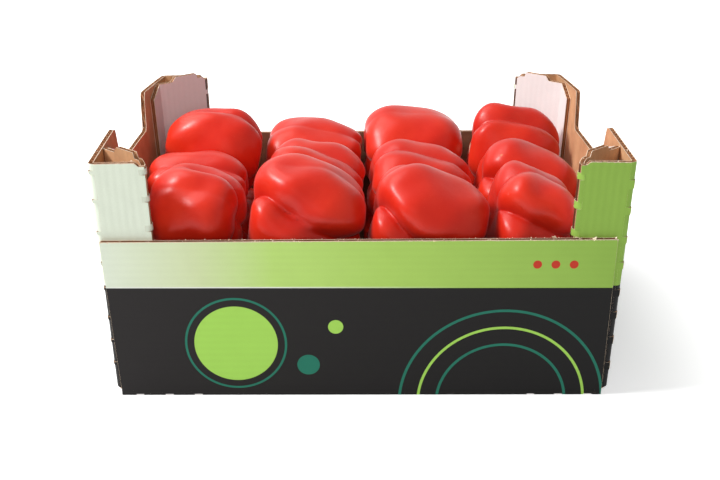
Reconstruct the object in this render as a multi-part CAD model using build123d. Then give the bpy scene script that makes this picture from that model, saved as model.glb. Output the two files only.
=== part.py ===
"""Open produce carton of folded corrugated board, packed with two layers of bell peppers.

Millimetres and degrees. X runs along the front, Y from front to back, Z up.
The origin is under the middle of the base.
"""
import os
from math import pi
from typing import NamedTuple

import numpy as np
from build123d import *

# Carton: a tray whose end walls and corner posts lean out a little
carton_width = 400
carton_depth = 300
post_height = 195
side_wall_height = 134
board = 4
fold_inside_radius = 1
end_lean = 1

# Front and back walls: each stops a little short of the ends of the base
front_left_foot_inset = 5.4
front_left_top_inset = 0.6
front_right_inset = 6.4
back_wall_inset = 6

# Corner posts: post face, diagonal and the flap glued to the end wall
front_post_width = 47.5
back_post_width = 52
post_side_depth = 40
glue_flap_width = 28
glue_flap_slope = 9
post_foot_clearance = 0.6
post_edge_drop = 3
tab_height = 4.5
tab_start_share = 0.28
tab_end_share = 0.80
tab_ramp_share = 0.07

# End walls: a tower at each corner and a lower middle
notch_floor_height = 164
tower_top_length = 86
tower_foot_length = 95
notch_corner_radius = 6

# Peppers: skin form, with lengths as shares of half the fruit's own size
pepper_height = 88
squareness = 2.9
stem_hollow_share = 0.24
tip_hollow_share = 0.13
hollow_width_share = 0.34
cleft_share = 0.09
groove_depth_share = 0.13
end_groove_depth_share = 0.2
groove_width = 0.33
stem_radius = 4.5
stem_cut_radius = 5.5
stem_length = 7
stem_root = 4
pepper_clearance = 0.65
settle_grid = 2
corner_relief_share = 0.42

loop_count = 15
loop_points = 40
settle_loops = 90
settle_points = 150

half_width = carton_width / 2
half_depth = carton_depth / 2
inside_width = carton_width - 2 * board
inside_depth = carton_depth - 2 * board
fold_radius = fold_inside_radius + board / 2
corner_relief = corner_relief_share * (front_post_width + post_side_depth) / 2
up = Vector(0, 0, 1)


class Pepper(NamedTuple):
    """One fruit, lying along X, in shares of its row, of the carton's depth and of the pepper height.

    The front and back rows are measured between the posts; fruit lying clear of a post may reach past them.
    """

    row: str
    x_shares: tuple
    y_shares: tuple
    height_share: float
    tilt: float = 0
    yaw: float = 0
    narrow_share: float = 0.1
    stem_end: int = 1
    grooves: tuple = ()


# Each groove: its angle at the left and at the right end, from the back over the top,
# then how deep it is at the left and at the right
top_peppers = (
    Pepper("front", (0.015, 0.234), (0.028, 0.326), 0.953, tilt=6, yaw=-11, stem_end=-1,
           grooves=((98, 82, 1.2, 1.2), (222, 228, 1, 1), (330, 320, 1, 1))),
    Pepper("front", (0.237, 0.509), (0.010, 0.328), 1.06, tilt=8, yaw=3, narrow_share=0.12,
           grooves=((118, 170, 1.5, 1.4), (250, 290, 1, 1), (20, 45, 1, 1), (98, 96, 0, 0.6))),
    Pepper("front", (0.512, 0.786), (0.010, 0.328), 0.99, tilt=9, yaw=-3, narrow_share=0.22,
           grooves=((138, 252, 1.6, 1.2), (70, 60, 0.6, 0.4), (320, 330, 1, 1))),
    Pepper("front", (0.788, 0.983), (0.028, 0.326), 0.95, tilt=8, yaw=4, narrow_share=0.15,
           grooves=((98, 85, 1, 0.7), (150, 198, 1.4, 1.3), (330, 330, 1, 1))),
    Pepper("middle", (0.016, 0.240), (0.334, 0.594), 0.77, yaw=2, narrow_share=0.05, stem_end=-1,
           grooves=((92, 96, 0.8, 1), (200, 205, 1, 1), (310, 300, 1, 1))),
    Pepper("middle", (0.272, 0.509), (0.334, 0.660), 0.89, tilt=10, yaw=-3, narrow_share=0.12,
           grooves=((85, 118, 1, 1.1), (190, 230, 1, 1), (310, 310, 1, 1))),
    Pepper("middle", (0.511, 0.749), (0.334, 0.660), 0.82, tilt=8, yaw=2, narrow_share=0.12,
           grooves=((100, 125, 1.1, 1.2), (200, 225, 1, 1), (320, 310, 1, 1))),
    Pepper("middle", (0.752, 0.986), (0.334, 0.594), 0.95, tilt=11, yaw=-2, narrow_share=0.16,
           grooves=((150, 205, 1.5, 1), (55, 60, 0.7, 0.7), (300, 310, 1, 1))),
    Pepper("back", (-0.037, 0.234), (0.600, 0.840), 1.04, tilt=2, yaw=5,
           grooves=((82, 108, 0.7, 1.4), (205, 215, 1, 1), (320, 320, 1, 1))),
    Pepper("back", (0.237, 0.504), (0.666, 0.990), 0.80, tilt=2, yaw=-2,
           grooves=((110, 125, 0.6, 0.8), (215, 230, 1, 1), (330, 330, 1, 1))),
    Pepper("back", (0.507, 0.778), (0.666, 0.990), 0.92, tilt=1, yaw=2, narrow_share=0.06, stem_end=-1,
           grooves=((104, 92, 0.5, 0.5), (200, 210, 1, 1), (310, 310, 1, 1))),
    Pepper("back", (0.783, 1.037), (0.600, 0.840), 1.11, tilt=7, yaw=-5, stem_end=-1,
           grooves=((118, 104, 1.2, 1.1), (220, 225, 1, 1), (20, 20, 1, 1))),
)

# The hidden layer under it: plain cells, each row of fruit alike in size
lower_row_shares = {"front": (0.026, 0.326), "middle": (0.334, 0.660), "back": (0.668, 0.960)}
lower_column_shares = ((0.016, 0.238), (0.256, 0.494), (0.506, 0.744), (0.762, 0.984))
lower_height_shares = (1.00, 0.98, 1.01, 0.99)
lower_grooves = (
    ((60, 70, 1, 1), (180, 190, 1, 1), (300, 295, 1, 1)),
    ((40, 35, 1, 1), (135, 140, 1, 1), (225, 215, 1, 1), (320, 315, 1, 1)),
    ((90, 100, 1, 1), (215, 205, 1, 1), (335, 330, 1, 1)),
)


def lower_peppers():
    """The lower layer, with its stems and lobes turned this way and that."""
    layer = []
    for row_number, (row, y_shares) in enumerate(lower_row_shares.items()):
        for column, x_shares in enumerate(lower_column_shares):
            form = (row_number + column) % len(lower_grooves)
            layer.append(Pepper(row, x_shares, y_shares, lower_height_shares[column],
                                stem_end=1 if form else -1, grooves=lower_grooves[form]))
    return layer


def panel(start, end, outline, corner_radii=0):
    """A flat piece of board over the plan line from start to end; outline points are (along, up)."""
    along = (end - start).normalized()
    upright = Plane(origin=start, x_dir=along, z_dir=along.cross(up))
    cut_line = FilletPolyline(*outline, radius=corner_radii, close=True)
    return extrude(upright * make_face(cut_line), board / 2, both=True)


def bend(arc, foot, top):
    """The rounded fold between two upright panels."""
    return Pos(0, 0, foot) * extrude(trace(arc, board), top - foot)


def corner_post(face_width, foot):
    """Flap, diagonal and post face of the front right corner, with the half end wall they fold from."""
    face_line = -(half_depth - board - board / 2)
    end_line = half_width - board / 2
    flap_line = end_line - board
    diagonal_end = -(half_depth - board) + post_side_depth
    path = FilletPolyline(
        (flap_line, diagonal_end + glue_flap_width),
        (flap_line, diagonal_end),
        (half_width - face_width + board / 2, face_line),
        (end_line, face_line),
        (end_line, 0),
        radius=fold_radius,
    )
    flap, flap_bend, diagonal, edge_bend, face, corner_bend, end = path.edges().sort_by(path)
    low_top = post_height - post_edge_drop

    return [
        bend(flap_bend, foot, post_height),
        bend(edge_bend, foot, low_top),
        bend(corner_bend, foot, post_height),
        panel(flap @ 0, flap @ 1, [
            (0, foot),
            (flap.length, foot),
            (flap.length, post_height),
            (0, post_height - glue_flap_slope),
        ]),
        panel(face @ 0, face @ 1, [
            (0, foot),
            (face.length, foot),
            (face.length, post_height),
            (post_edge_drop, post_height),
            (0, low_top),
        ]),
        panel(diagonal @ 0, diagonal @ 1, diagonal_outline(diagonal.length, foot, low_top)),
        panel(end @ 0, end @ 1, end_outline(end.length),
              [0, 0, 0, notch_corner_radius, notch_corner_radius, 0]),
    ]


def diagonal_outline(length, foot, low_top):
    """The diagonal's cut shape, with the raised stacking tab on its top edge."""
    ramp = tab_ramp_share * length
    tab_start = tab_start_share * length
    tab_end = tab_end_share * length
    return [
        (0, foot),
        (length, foot),
        (length, low_top),
        (length - post_edge_drop, post_height),
        (tab_end + ramp / 2, post_height),
        (tab_end, post_height + tab_height),
        (tab_start + ramp, post_height + tab_height),
        (tab_start, post_height),
        (0, post_height),
    ]


def end_outline(length):
    """Half of an end wall, from a corner fold to the middle of the notch."""
    trim = half_depth - board - length
    return [
        (0, fold_radius + board / 2),
        (length, fold_radius + board / 2),
        (length, notch_floor_height),
        (tower_foot_length - trim, notch_floor_height),
        (tower_top_length - trim, post_height),
        (0, post_height),
    ]


def end_of_carton():
    """The right end: end wall, both posts and the fold to the base, leaning out about that fold."""
    fold_x = half_width - board / 2 - fold_radius
    fold_z = board / 2 + fold_radius
    foot = board + post_foot_clearance
    front_half = Part() + corner_post(front_post_width, foot)
    back_half = mirror(Part() + corner_post(back_post_width, foot), Plane.XZ)
    leaning = (front_half + back_half).rotate(Axis((fold_x, 0, fold_z), (0, 1, 0)), end_lean)
    fold_length = inside_depth - 2 * (fold_radius + board / 2)
    side_view = Plane(origin=(0, fold_length / 2, 0), x_dir=(1, 0, 0), z_dir=(0, -1, 0))
    fold_arc = CenterArc((fold_x, fold_z), fold_radius, -90, 90 - end_lean)
    return leaning + extrude(side_view * trace(fold_arc, board), fold_length)


def side_wall(line, foot_left, foot_right, top_left, top_right):
    """A front or back wall, standing on its fold at the base; ends are given as places along X."""
    foot = fold_radius + board / 2
    return panel(Vector(0, line, 0), Vector(half_width, line, 0), [
        (foot_left, foot),
        (foot_right, foot),
        (top_right, side_wall_height),
        (top_left, side_wall_height),
    ])


def base_and_side_walls():
    """The base with the front and back walls folded up from it, outside the posts."""
    line = half_depth - board / 2
    fold_y = line - fold_radius
    fold_z = board / 2 + fold_radius
    front_left_foot = -half_width + front_left_foot_inset
    front_left_top = -half_width + front_left_top_inset
    front_right = half_width - front_right_inset
    back_right = half_width - back_wall_inset
    front = side_wall(-line, front_left_foot, front_right, front_left_top, front_right)
    back = side_wall(line, -back_right, back_right, -back_right, back_right)

    front_section = Plane(origin=(front_left_foot, 0, 0), x_dir=(0, 1, 0), z_dir=(1, 0, 0))
    front_fold = front_section * trace(CenterArc((-fold_y, fold_z), fold_radius, 180, 90), board)
    back_section = Plane(origin=(-back_right, 0, 0), x_dir=(0, 1, 0), z_dir=(1, 0, 0))
    back_fold = back_section * trace(CenterArc((fold_y, fold_z), fold_radius, -90, 90), board)

    base_width = 2 * (half_width - board / 2 - fold_radius)
    base = Pos(0, 0, board / 2) * Box(base_width, 2 * fold_y, board)
    return [
        base,
        front,
        back,
        extrude(front_fold, front_right - front_left_foot),
        extrude(back_fold, 2 * back_right),
    ]


def carton():
    right_end = end_of_carton()
    return right_end + mirror(right_end, Plane.YZ) + base_and_side_walls()


def groove_pattern(pepper, along, angle):
    """How deep in a groove each point of the skin lies, 0 on the lobes and about 1 in the grooves."""
    to_right = (along + 1) / 2
    total = 0
    for left, right, left_depth, right_depth in pepper.grooves:
        centre = np.radians(left + (right - left) * to_right)
        away = (angle - centre + pi) % (2 * pi) - pi
        depth = left_depth + (right_depth - left_depth) * to_right
        total = total + depth * np.exp(-(away / groove_width) ** 2)
    return total


def hollow(radial, depth_share):
    return depth_share * np.exp(-(radial / hollow_width_share) ** 2)


def skin(pepper, stations, angles):
    """Points of the fruit's skin, one loop for each station from its left end to its right end."""
    turn = pi * stations[:, None]
    angle = angles[None, :]
    radial = np.sin(turn) ** (2 / squareness)
    along = -np.sign(np.cos(turn)) * np.abs(np.cos(turn)) ** (2 / squareness)
    groove = groove_pattern(pepper, along, angle)
    depth = groove_depth_share + (end_groove_depth_share - groove_depth_share) * along ** 4
    reach = radial * (1 - pepper.narrow_share * along) * (1 - depth * groove)
    right_hollow, left_hollow = (stem_hollow_share, tip_hollow_share)[::pepper.stem_end]
    at_end = np.abs(along) ** 3
    sunk = hollow(radial, np.where(along > 0, right_hollow, left_hollow)) + cleft_share * groove * radial
    x = along - np.sign(along) * sunk * at_end
    y = reach * np.cos(angle)
    z = reach * np.sin(angle)
    tilt, yaw = np.radians(pepper.tilt), np.radians(pepper.yaw)
    x, z = x * np.cos(tilt) + z * np.sin(tilt), z * np.cos(tilt) - x * np.sin(tilt)
    x, y = x * np.cos(yaw) - y * np.sin(yaw), y * np.cos(yaw) + x * np.sin(yaw)
    return np.stack(np.broadcast_arrays(x, y, z), axis=-1)


def even_stations(count):
    """Stations from end to end, closer together towards the ends."""
    return (1 - np.cos(pi * np.arange(count + 2) / (count + 1))) / 2


def even_angles(count):
    return 2 * pi * np.arange(count) / count


def in_carton(pepper, points, fitted_to):
    """Scales skin points so that the fruit fills its own place in the carton, with its foot at zero."""
    low = fitted_to.min(axis=(0, 1))
    high = fitted_to.max(axis=(0, 1))
    row_length = inside_width if pepper.row == "middle" else inside_width - 2 * corner_relief
    left, right = (np.array(pepper.x_shares) - 1 / 2) * row_length
    front, back = (np.array(pepper.y_shares) - 1 / 2) * inside_depth
    size = np.array([right - left, back - front, pepper.height_share * pepper_height])
    return np.array([left, front, 0]) + (points - low) / (high - low) * size


class Settled:
    """The height of what is already in the carton, over a grid in plan, starting from the base."""

    def __init__(self):
        cells = (int(carton_width / settle_grid) + 1, int(carton_depth / settle_grid) + 1)
        self.top = np.full(cells, float(board))

    def lay(self, points):
        """Lays a fruit down on what is there, and gives the height of its foot."""
        flat = points.reshape(-1, 3)
        column = ((flat[:, 0] + half_width) / settle_grid).astype(int)
        row = ((flat[:, 1] + half_depth) / settle_grid).astype(int)
        underside = np.full(self.top.shape, np.inf)
        np.minimum.at(underside, (column, row), flat[:, 2])
        foot = float(np.max(self.top - underside)) + pepper_clearance
        np.maximum.at(self.top, (column, row), flat[:, 2] + foot)
        return foot


def stem(root, direction):
    """A short cut stem, a little wider at its cut end."""
    profile = make_face(Polyline(
        (0, -stem_root),
        (stem_radius, -stem_root),
        (stem_radius, stem_length / 2),
        (stem_cut_radius, stem_length),
        (0, stem_length),
        close=True,
    ))
    turned = revolve(Plane.XZ * profile, Axis.Z)
    return Plane(origin=root, z_dir=direction) * turned


def fruit(pepper, settled):
    """One pepper as a loft through loops of its skin, with its stem grown on."""
    close_skin = skin(pepper, even_stations(settle_loops), even_angles(settle_points))
    foot = settled.lay(in_carton(pepper, close_skin, close_skin))
    loops = in_carton(pepper, skin(pepper, even_stations(loop_count), even_angles(loop_points)), close_skin)
    loops = loops + np.array([0, 0, foot])
    steps = [step / loop_points for step in range(loop_points + 1)]
    wires = [Wire([Edge.make_spline([Vector(*point) for point in loop], periodic=True, parameters=steps)])
             for loop in loops[1:-1]]
    left_end, right_end = Vector(*loops[0, 0]), Vector(*loops[-1, 0])
    body = Solid.make_loft([Vertex(*left_end), *wires, Vertex(*right_end)])
    stem_at, tip_at = (right_end, left_end)[::pepper.stem_end]
    return body + stem(stem_at, (stem_at - tip_at).normalized())


os.makedirs("parts", exist_ok=True)
export_step(carton(), "parts/carton.step")
filling = Settled()
for layer, peppers in (("lower", lower_peppers()), ("top", top_peppers)):
    for number, pepper in enumerate(peppers):
        place = number % len(lower_column_shares) + 1
        export_step(fruit(pepper, filling), f"parts/pepper_{layer}_{pepper.row}_{place}.step")
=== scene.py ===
"""Looks of an open carton of corrugated board, packed with two layers of red bell peppers.

Metres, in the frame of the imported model: X runs along the front, Y from front to back, Z up.
"""
from functools import partialmethod
from math import acos, cos, pi, radians, sin, tan
from typing import NamedTuple

import bpy
import numpy as np
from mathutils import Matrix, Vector


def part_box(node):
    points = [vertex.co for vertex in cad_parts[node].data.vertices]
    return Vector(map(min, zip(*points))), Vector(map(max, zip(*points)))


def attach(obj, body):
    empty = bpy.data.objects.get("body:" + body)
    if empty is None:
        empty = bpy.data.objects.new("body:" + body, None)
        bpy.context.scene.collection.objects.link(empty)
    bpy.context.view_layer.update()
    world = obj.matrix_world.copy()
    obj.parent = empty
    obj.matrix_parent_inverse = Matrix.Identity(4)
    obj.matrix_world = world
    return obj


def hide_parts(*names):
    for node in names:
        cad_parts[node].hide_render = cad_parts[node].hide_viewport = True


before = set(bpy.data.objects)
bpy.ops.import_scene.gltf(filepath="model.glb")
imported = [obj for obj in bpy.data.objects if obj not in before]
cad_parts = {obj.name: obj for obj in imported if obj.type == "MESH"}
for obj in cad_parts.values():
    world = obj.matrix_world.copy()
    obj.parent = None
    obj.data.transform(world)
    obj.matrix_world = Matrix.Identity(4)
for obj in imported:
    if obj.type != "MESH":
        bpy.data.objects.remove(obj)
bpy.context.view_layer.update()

# Carton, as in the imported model
half_width = 0.200
half_depth = 0.150
post_height = 0.195
side_wall_height = 0.134
board = 0.004
fold_radius = 0.003
end_lean = radians(1)
front_left_foot_inset = 0.0054
front_left_top_inset = 0.0006
front_right_inset = 0.0064
back_wall_inset = 0.006
front_post_width = 0.0475
back_post_width = 0.052
post_side_depth = 0.040
glue_flap_width = 0.028
glue_flap_slope = 0.009
post_foot = 0.0046
post_edge_drop = 0.003
tab_height = 0.0045
tab_ramp_share = 0.07
notch_floor_height = 0.164
tower_top_length = 0.086
tower_foot_length = 0.095
notch_corner_radius = 0.006

# Stacking tabs, where they start and end along the diagonal from the post's inner edge
tab_start_share = 0.20
tab_end_share = 0.72

# Board: two liners on a fluted middle, and how finely its panels are drawn
liner = 0.0004
flute_paper = 0.00026
flute_pitch = 0.0056
end_washboard = 0.00005
side_washboard = 0.00001
flute_samples = 6
panel_rows = 9
wall_columns = 17
wall_end_columns = (0.002, 0.006, 0.994, 0.998)
sharp_turn = radians(70)

# Folds: cut through in dashes, with bridges left between the cuts; lips reach into the cuts
crease_period = 0.022
inner_cut_share = 0.78
right_corner_cut_share = 0.28
left_corner_cut_share = 0.12
foot_cut_share = 0.5
left_inner_lip = 0.0043
right_inner_lip = 0.0036
cut_fold_depth = 0.0007
printed_bend_share = 0.7
corner_lip = 0.0041
foot_lip = 0.0054
torn_lip_from = 0.74
torn_lip_to = 0.9
torn_foot_from = 0.125
bend_steps = 7
bridge_spread = (0.85, 1.2)
cut_spread = (0.9, 1.08)
tear_step = 0.02
torn_half_length = 0.29
torn_lengths = (0, 0.2, 0.22, 0.78, 0.8, 1)
end_wear_share = 5

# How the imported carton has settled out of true
left_bow = 0.004
right_bow = 0.002
bow_skew_share = 0.35
wall_rise = 0.0022
post_rise = 0.0012
tower_tip_rise = 0.003

# Frayed edges: flakes' spacing, largest size, spread, rarity of large ones and seed
wall_fray = {"spacing": 0.0007, "largest": 0.0012, "spread": 0.0005, "rarity": 5, "seed": 3}
torn_corner_fray = {"spacing": 0.009, "largest": 0.0055, "spread": 0.0010, "rarity": 0.8, "seed": 11}
tower_fray = {"spacing": 0.002, "largest": 0.0013, "spread": 0.0012, "rarity": 5, "seed": 5}
smallest_flake_share = 0.12

# Peppers: skin form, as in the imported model
squareness = 2.9
stem_hollow_share = 0.24
tip_hollow_share = 0.13
hollow_width_share = 0.34
cleft_share = 0.09
groove_depth_share = 0.13
end_groove_depth_share = 0.2
groove_width = 0.33
stem_radius = 0.0045
stem_cut_radius = 0.0055
stem_length = 0.007

# Finer form of the skin: sharp creases in the grooves, and lumps as waves around and along the fruit
crease_share = 0.45
crease_width = 0.1
lump_share = 0.022
lump_waves = ((2, 2.1), (3, -2.7), (0, 5.3), (5, 3.9), (4, -6.1), (7, 2.3), (6, 7.7))
calyx_rings = 7
calyx_points = 6
calyx_point_share = 0.35
calyx_reach = (0.002, 0.032)
calyx_thickness = (0.0009, 0.0002)
stem_ribs = 5
stem_rib_share = 0.07
# Stem from the hollow to the middle of its cut: share of its length, and radius
stem_profile = (
    (0.0, 1.25 * stem_radius),
    (0.3, 0.98 * stem_radius),
    (0.7, stem_radius),
    (0.93, stem_cut_radius),
    (1.0, 0.96 * stem_cut_radius),
    (1.0, 0.55 * stem_cut_radius),
    (0.95, 0.1 * stem_cut_radius),
)
stem_cut_from = 4
# Loops along a pepper and points around it
top_skin = (80, 144)
lower_skin = (34, 48)

# Camera, where the photograph was taken from
photo_width = 720
focal_pixels = 944.8
camera_pitch = radians(22.65)
camera_yaw = radians(-0.15)
camera_place = (-0.0036, -0.8094, 0.4112)

# Studio: the floor's own level near the carton and where it fades to white, and what the world gives
floor_lift = 0.47
floor_fade_from = 0.2
floor_fade_to = 0.44
floor_half = 6
world_strength = 0.11
light_target = (0, 0, 0.12)

fold_x = half_width - board / 2 - fold_radius
fold_y = half_depth - board / 2 - fold_radius
fold_z = board / 2 + fold_radius
upward = np.array([0, 0, 1.0])
downward = np.array([0, 0, -1.0])
along_x = np.array([1.0, 0, 0])
along_y = np.array([0, 1.0, 0])
random = np.random.default_rng(7)


class Groove(NamedTuple):
    """A groove's angles at left and right, from the back over the top, its depths there, and its bow."""

    left: float
    right: float
    left_depth: float = 1
    right_depth: float = 1
    bow: float = 0


class Pepper(NamedTuple):
    """How one fruit lies, along X, where its grooves run, and how blunt its ends are."""

    tilt: float = 0
    yaw: float = 0
    narrow_share: float = 0.1
    stem_end: int = 1
    grooves: tuple = ()
    blunt: float = squareness


top_peppers = {
    "front_1": Pepper(1, -14, 0.04, -1, ((84, 70, 0.6, 1), (132, 124, 0.4, 0.2), (222, 228), (330, 320))),
    "front_2": Pepper(8, 3, 0.12, 1, ((120, 198, 1.5, 1.4, 14), (262, 300), (20, 45), (98, 96, 0, 0.6))),
    "front_3": Pepper(9, -3, 0.22, 1, ((136, 215, 1.6, 1.2, 24), (70, 60, 0.6, 0.4), (320, 330))),
    "front_4": Pepper(8, 4, 0.15, 1, ((98, 85, 1, 0.7), (152, 198, 1.4, 1.3), (330, 330))),
    "middle_1": Pepper(0, 2, 0.05, -1, ((112, 114, 0.8, 1), (200, 205), (310, 300))),
    "middle_2": Pepper(10, -3, 0.12, 1, ((78, 108, 1, 1.1), (190, 230), (310, 310))),
    "middle_3": Pepper(8, 2, 0.12, 1, ((86, 112, 1.1, 1.2), (200, 225), (320, 310))),
    "middle_4": Pepper(11, -2, 0.16, 1, ((150, 205, 1.5, 1), (55, 60, 0.7, 0.7), (300, 310))),
    "back_1": Pepper(12, 3, -0.12, 1, ((84, 92, 0.4, 1.1), (205, 215), (320, 320)), 2.1),
    "back_2": Pepper(2, -2, 0.1, 1, ((100, 112, 0.4, 0.5), (215, 230), (330, 330))),
    "back_3": Pepper(1, 2, 0.06, -1, ((102, 96, 0.2, 0.15), (200, 210), (310, 310))),
    "back_4": Pepper(7, -5, 0.1, -1, ((118, 104, 1.2, 1.1), (220, 225), (20, 20))),
}
lower_grooves = (
    ((60, 70), (180, 190), (300, 295)),
    ((40, 35), (135, 140), (225, 215), (320, 315)),
    ((90, 100), (215, 205), (335, 330)),
)


def srgb(red, green, blue):
    """A screen colour, each channel 0 to 255, as the linear colour that shaders take."""
    channels = np.array([red, green, blue]) / 255
    linear = np.where(channels <= 0.04045, channels / 12.92, ((channels + 0.055) / 1.055) ** 2.4)
    return (*linear.tolist(), 1)


# Printed side: a band that runs from pale to green, over a dark field that is painted darker towards the
# right as painted shade
print_line = 0.0958
pale_line = 0.0014
band_stops = (
    (0.00, srgb(222, 230, 212)),
    (0.18, srgb(208, 220, 172)),
    (0.33, srgb(186, 219, 120)),
    (0.55, srgb(172, 208, 101)),
    (1.00, srgb(145, 182, 80)),
)
dark_ink_lit_left = srgb(32, 29, 29)
dark_ink_shaded_right = srgb(13, 12, 12)
pale_ink = srgb(228, 232, 220)
lime_ink = srgb(164, 212, 92)
teal_ink = srgb(36, 114, 94)
red_ink = srgb(196, 60, 44)
# Dark brown for the cuts of the inner folds: the board's brown inside, darkened as painted shade
cut_fold_shade = srgb(84, 52, 36)
bare_liner = srgb(236, 231, 229)
torn_paper = srgb(228, 205, 178)
# Motifs: centre x, centre z, radius and width of line, ink; a disc is a line as wide as twice its radius
dark_field_motifs = (
    (-0.100, 0.047, 0.0165, 0.0330, lime_ink),
    (-0.100, 0.047, 0.0395, 0.0018, teal_ink),
    (-0.043, 0.028, 0.0045, 0.0090, teal_ink),
    (-0.021, 0.062, 0.0030, 0.0060, lime_ink),
    (0.112, -0.006, 0.0520, 0.0022, teal_ink),
    (0.112, -0.006, 0.0670, 0.0022, lime_ink),
    (0.112, -0.006, 0.0820, 0.0022, teal_ink),
)
band_motifs = tuple((x, 0.1155, 0.0017, 0.0034, red_ink) for x in (0.134, 0.148, 0.162))


class Tree:
    """A node tree being built: inputs given as sockets are linked, others are set."""

    def __init__(self, tree):
        self.tree = tree

    def add(self, kind, inputs=None, **settings):
        node = self.tree.nodes.new(kind)
        for name, value in settings.items():
            setattr(node, name, value)
        for name, value in (inputs or {}).items():
            if isinstance(value, bpy.types.NodeSocket):
                self.tree.links.new(value, node.inputs[name])
            else:
                node.inputs[name].default_value = value
        return node

    def math(self, operation, *values):
        return self.add("ShaderNodeMath", dict(enumerate(values)), operation=operation).outputs[0]

    plus = partialmethod(math, "ADD")
    minus = partialmethod(math, "SUBTRACT")
    times = partialmethod(math, "MULTIPLY")
    times_plus = partialmethod(math, "MULTIPLY_ADD")

    def vector(self, operation, *values):
        return self.add("ShaderNodeVectorMath", dict(enumerate(values)), operation=operation).outputs[0]

    def scaled(self, vector, scale):
        return self.add("ShaderNodeVectorMath", {0: vector, "Scale": scale}, operation="SCALE").outputs[0]

    def mix(self, share, first, second, blend="MIX"):
        return self.add("ShaderNodeMix", {0: share, 6: first, 7: second},
                        data_type="RGBA", blend_type=blend).outputs[2]

    def step(self, value, start, end):
        """0 below start and 1 above end, or the other way round where end is lower."""
        return self.add("ShaderNodeMapRange", {0: value, 1: start, 2: end},
                        interpolation_type="SMOOTHSTEP").outputs[0]

    def noise(self, vector, scale, detail=2, roughness=0.5):
        return self.add("ShaderNodeTexNoise", {"Vector": vector, "Scale": scale, "Detail": detail,
                                               "Roughness": roughness}).outputs[0]

    def ramp(self, value, stops):
        """Colours along a value from 0 to 1; stops are (place, colour)."""
        node = self.add("ShaderNodeValToRGB", {0: value})
        points = node.color_ramp.elements
        while len(points) < len(stops):
            points.new(1)
        for point, (place, colour) in zip(points, stops):
            point.position = place
            point.color = colour
        return node.outputs[0]

    def grey(self, tone):
        return self.add("ShaderNodeCombineColor", {0: tone, 1: tone, 2: tone}).outputs[0]

    def object_place(self):
        return self.add("ShaderNodeTexCoord").outputs["Object"]

    def attribute(self, name):
        return self.add("ShaderNodeAttribute", attribute_name=name).outputs["Fac"]

    def group(self, group, **inputs):
        named = {name.replace("_", " ").capitalize(): value for name, value in inputs.items()}
        return self.add("ShaderNodeGroup", named, node_tree=group).outputs


def node_group(kind, name, inputs, outputs):
    """A new group of nodes, its tree and its inputs; inputs and outputs give the labels of each kind."""
    group = bpy.data.node_groups.new(name, kind + "NodeTree")
    for in_out, sockets in (("INPUT", inputs), ("OUTPUT", outputs)):
        for socket_kind, labels in sockets.items():
            for label in labels:
                group.interface.new_socket(label, in_out=in_out, socket_type="NodeSocket" + socket_kind)
    tree = Tree(group)
    return group, tree, tree.add("NodeGroupInput").outputs


def shader_group(name, inputs, outputs):
    return node_group("Shader", name, {"Float": inputs}, {"Float": outputs})


def paper_fibre_group():
    """Cloudy and fibrous unevenness of paper: a tone about 1, and a height for bump."""
    group, tree, given = shader_group("paper_fibre", ("Strength",), ("Tone", "Height"))
    place = tree.object_place()
    cloud = tree.noise(place, 70, 3)
    fibre = tree.noise(place, 1100, 4, 0.65)
    uneven = tree.plus(tree.times_plus(cloud, 0.14, -0.07), tree.times_plus(fibre, 0.22, -0.11))
    tone = tree.times_plus(uneven, given["Strength"], 1)
    tree.add("NodeGroupOutput", {"Tone": tone, "Height": fibre})
    return group


def flute_show_group():
    """The flutes showing through a liner, as a tone about 1."""
    group, tree, given = shader_group("flute_show", ("Strength",), ("Tone",))
    turn = tree.times(tree.attribute("across"), 2 * pi / flute_pitch)
    wander = tree.noise(tree.object_place(), 25, 1)
    tone = tree.times(tree.times(tree.math("SINE", turn), wander), given["Strength"])
    tree.add("NodeGroupOutput", {"Tone": tree.plus(tone, 1)})
    return group


def worn_edge_group():
    """Mask along the cut edges of a panel, ragged like rubbed and torn paper."""
    group, tree, given = shader_group("worn_edge", ("Width",), ("Mask",))
    ragged = tree.noise(tree.object_place(), 420, 3, 0.7)
    reach = tree.times(given["Width"], tree.times_plus(ragged, 4, -1))
    mask = tree.step(tree.minus(tree.attribute("rim"), reach), 0.0002, -0.0002)
    tree.add("NodeGroupOutput", {"Mask": mask})
    return group


def ring_group():
    """Mask of a ring on the front wall; a disc is a ring of line as wide as twice its radius."""
    group, tree, given = shader_group(
        "printed_ring", ("Centre x", "Centre z", "Radius", "Width"), ("Mask",))
    place = tree.add("ShaderNodeSeparateXYZ", {0: tree.object_place()}).outputs
    to_x = tree.minus(place["X"], given["Centre x"])
    to_z = tree.minus(place["Z"], given["Centre z"])
    away = tree.math("SQRT", tree.plus(tree.math("POWER", to_x, 2), tree.math("POWER", to_z, 2)))
    off_line = tree.math("ABSOLUTE", tree.minus(away, given["Radius"]))
    inside = tree.minus(off_line, tree.times(given["Width"], 0.5))
    on_front = tree.step(place["Y"], board - half_depth, board / 2 - half_depth)
    mask = tree.times(tree.step(inside, 0.0001, -0.0001), on_front)
    tree.add("NodeGroupOutput", {"Mask": mask})
    return group


def new_material(name):
    material = bpy.data.materials.new(name)
    material.use_nodes = True
    material.node_tree.nodes.clear()
    return material, Tree(material.node_tree)


def finish_material(tree, bump_height=None, bump_distance=0.0001, bump_strength=1, **sockets):
    """Ends a material in one Principled shader; constants sit on the shader's own sockets."""
    inputs = {name.replace("_", " ").title().replace("Ior", "IOR"): value for name, value in sockets.items()}
    if bump_height is not None:
        bump = tree.add("ShaderNodeBump", {"Height": bump_height, "Distance": bump_distance,
                                           "Strength": bump_strength})
        inputs["Normal"] = bump.outputs[0]
    shader = tree.add("ShaderNodeBsdfPrincipled", inputs)
    tree.add("ShaderNodeOutputMaterial", {"Surface": shader.outputs[0]})


paper_fibre = paper_fibre_group()
flute_show = flute_show_group()
worn_edge = worn_edge_group()
printed_ring = ring_group()


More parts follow.
